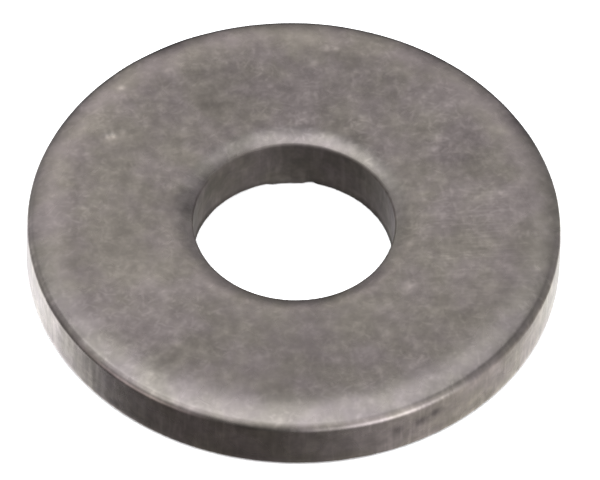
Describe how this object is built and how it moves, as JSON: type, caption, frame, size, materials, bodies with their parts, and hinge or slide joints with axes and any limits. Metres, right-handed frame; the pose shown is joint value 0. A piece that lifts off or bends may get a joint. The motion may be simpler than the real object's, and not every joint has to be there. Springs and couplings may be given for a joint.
{
  "type": "flat washer",
  "caption": "Thick, narrow-bored flat washer punched from steel sheet and tumbled, which spreads the load of an M6 screw head or nut over a wide face.",
  "frame": {"origin": "centre of the bore, on the lower flat face, which is the one with no rolled edges", "axes": "+Z along the axis of the ring, from the lower face towards the upper face with the rolled edges; +X and +Y are any two radii at right angles"},
  "size_m": [0.017, 0.017, 0.002],
  "materials": {
    "tumbled_steel": "tumbled, dull warm grey with fine mottling and burnished corners"
  },
  "bodies": {
    "root": {"washer": "tumbled_steel"}
  },
  "joints": []
}
